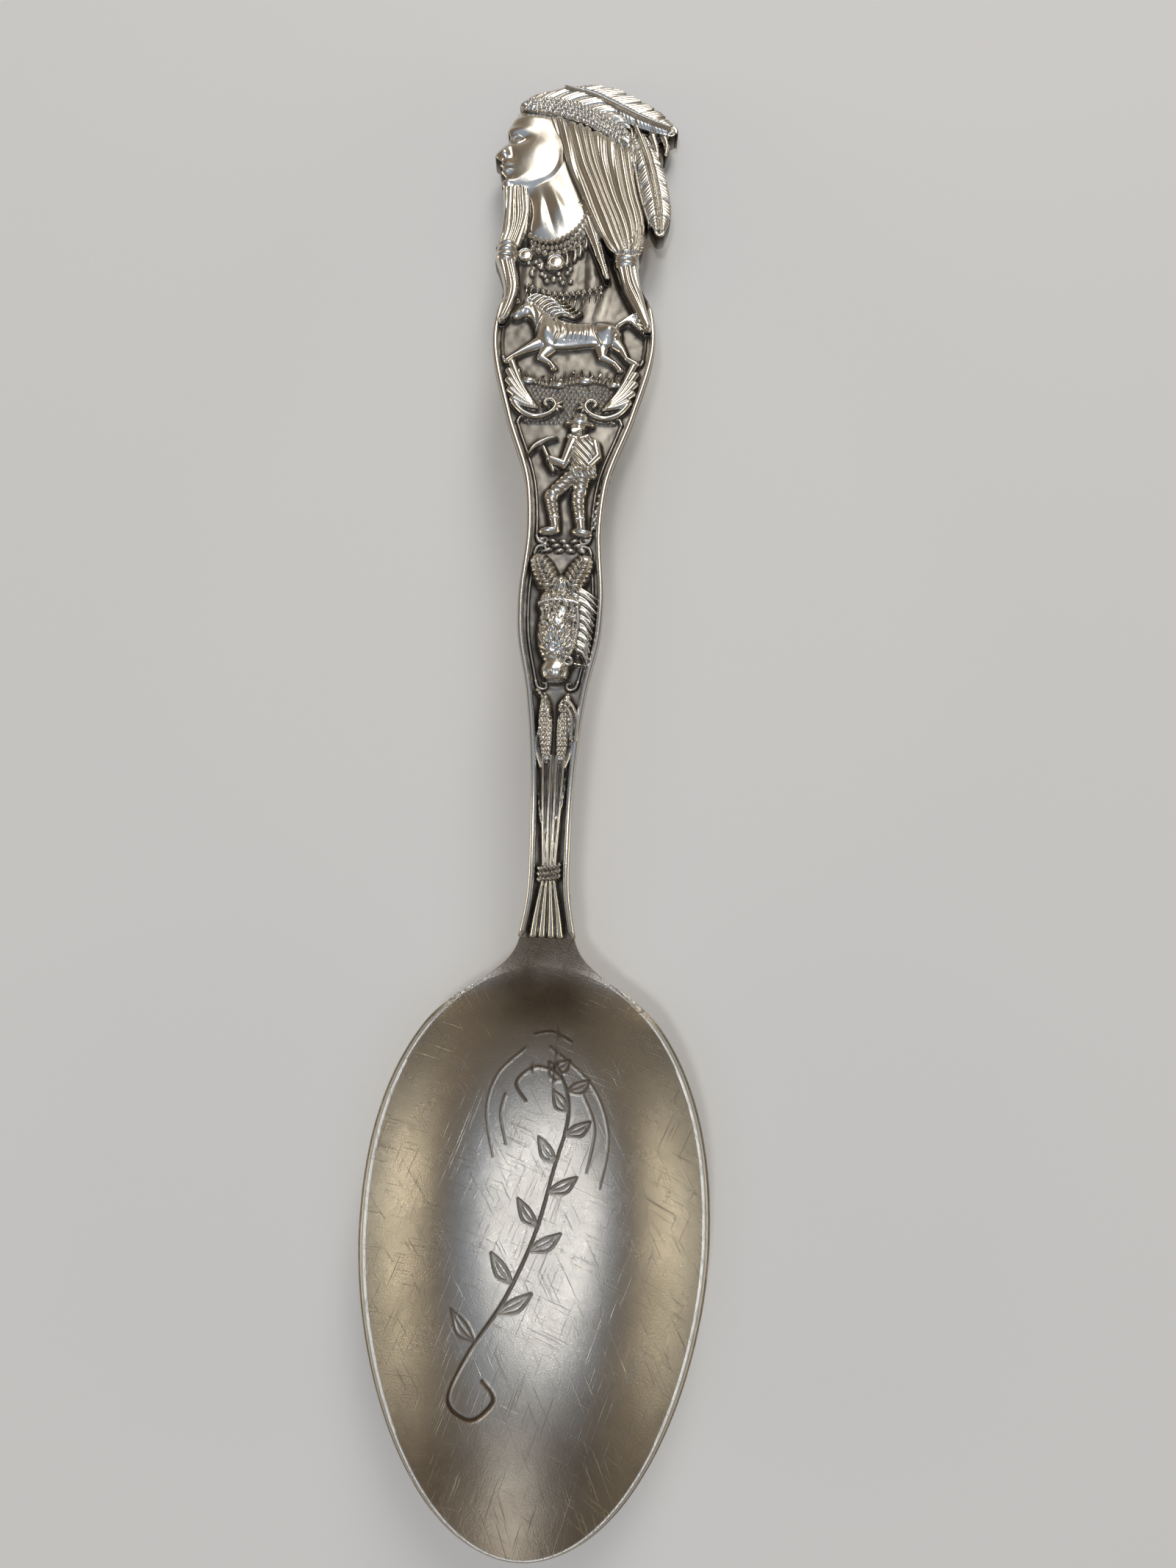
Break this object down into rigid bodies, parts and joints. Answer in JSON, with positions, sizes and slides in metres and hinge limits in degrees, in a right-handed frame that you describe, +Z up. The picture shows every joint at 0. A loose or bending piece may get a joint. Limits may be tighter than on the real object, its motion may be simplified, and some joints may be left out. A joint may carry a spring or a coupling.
{
  "type": "souvenir spoon",
  "caption": "Small silver souvenir teaspoon with a pointed oval bowl, a bent relief handle and a finial in the shape of a profile bust with headband, feathers and braids.",
  "frame": {"origin": "On the table under the middle of the spoon's bounding box. The bowl's flat spot rests at z = 0.", "axes": "X across the spoon, +Y from the bowl's tip to the finial, +Z up out of the bowl."},
  "size_m": [0.0322, 0.1502, 0.0137],
  "materials": {
    "polished_silver": null,
    "struck_silver": "struck silver relief, bright on the high places and dark with tarnish in the low ones"
  },
  "bodies": {
    "root": {"miner": "struck_silver", "burro": "struck_silver", "pick": "struck_silver", "bowl": "polished_silver", "bundle_cord": "struck_silver", "crown_hair": "struck_silver", "front_braid": "struck_silver", "front_braid_tail": "struck_silver", "front_braid_wrap": "struck_silver", "hair": "struck_silver", "handle": "polished_silver", "hanging_feather": "struck_silver", "head": "struck_silver", "headband": "struck_silver", "horse": "struck_silver", "left_corn_ear": "struck_silver", "left_edge_wire": "struck_silver", "left_scroll": "struck_silver", "necklace": "struck_silver", "pendant": "struck_silver", "rear_braid_tail": "struck_silver", "rear_braid_wrap": "struck_silver", "right_corn_ear": "struck_silver", "right_edge_wire": "struck_silver", "right_scroll": "struck_silver", "stalk_ends": "struck_silver", "stalks": "struck_silver", "top_feather": "struck_silver"}
  },
  "joints": []
}
